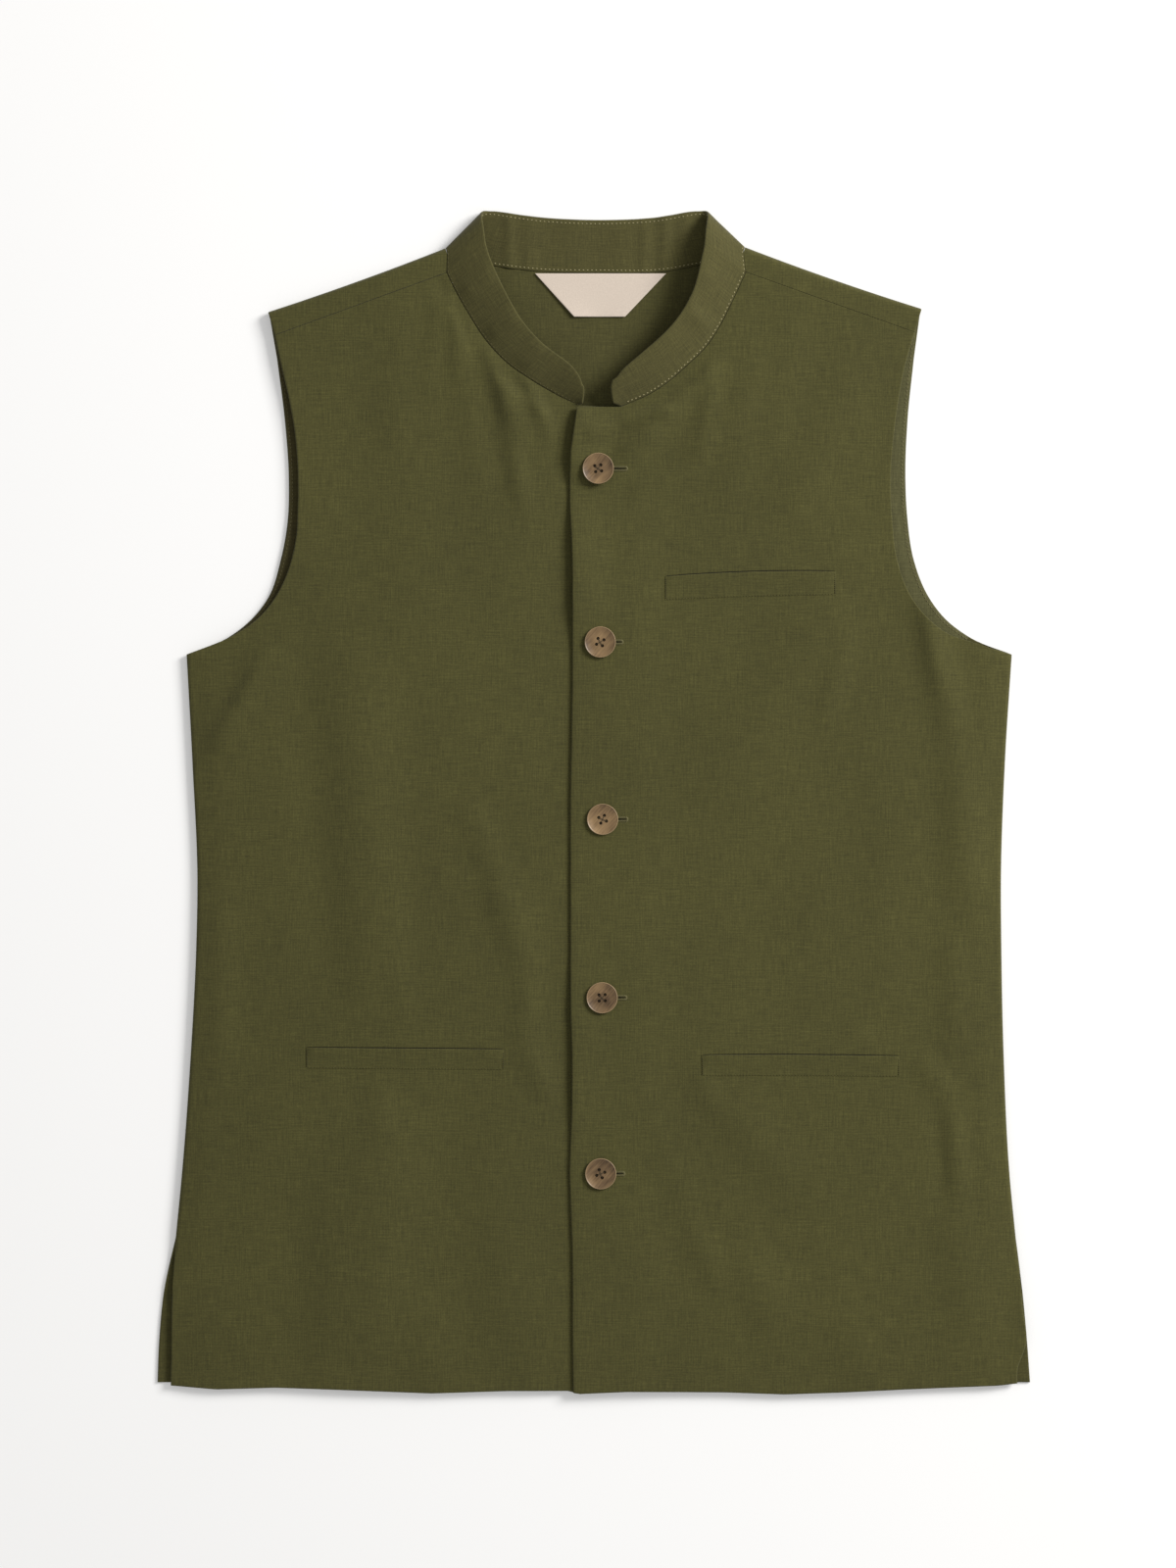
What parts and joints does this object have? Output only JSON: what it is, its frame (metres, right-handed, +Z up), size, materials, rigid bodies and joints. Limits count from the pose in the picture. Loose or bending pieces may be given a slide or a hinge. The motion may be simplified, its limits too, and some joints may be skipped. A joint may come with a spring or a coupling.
{
  "type": "nehru jacket",
  "caption": "Sleeveless olive linen nehru jacket with a band collar, horn-look buttons, a chest welt pocket and lower welt pockets, laid flat and buttoned.",
  "frame": {"origin": "centre of the bounding box at the table, under the flat underside", "axes": "+X towards the wearer's left side, +Y up the jacket towards the collar, +Z up from the table through the fronts"},
  "size_m": [0.5162, 0.7012, 0.018],
  "materials": {
    "cloth": "matte plain-weave linen with fine slubs",
    "label": "smooth woven satin",
    "button": "semi-gloss horn-look resin"
  },
  "bodies": {
    "root": {"back": "cloth", "front_right": "cloth", "front_left": "cloth", "collar": "cloth", "facing_armhole_left": "cloth", "facing_armhole_right": "cloth", "label": "label", "welt_chest": "cloth", "welt_lower_left": "cloth", "welt_lower_right": "cloth", "button_1": "button", "button_2": "button", "button_3": "button", "button_4": "button", "button_5": "button"}
  },
  "joints": []
}
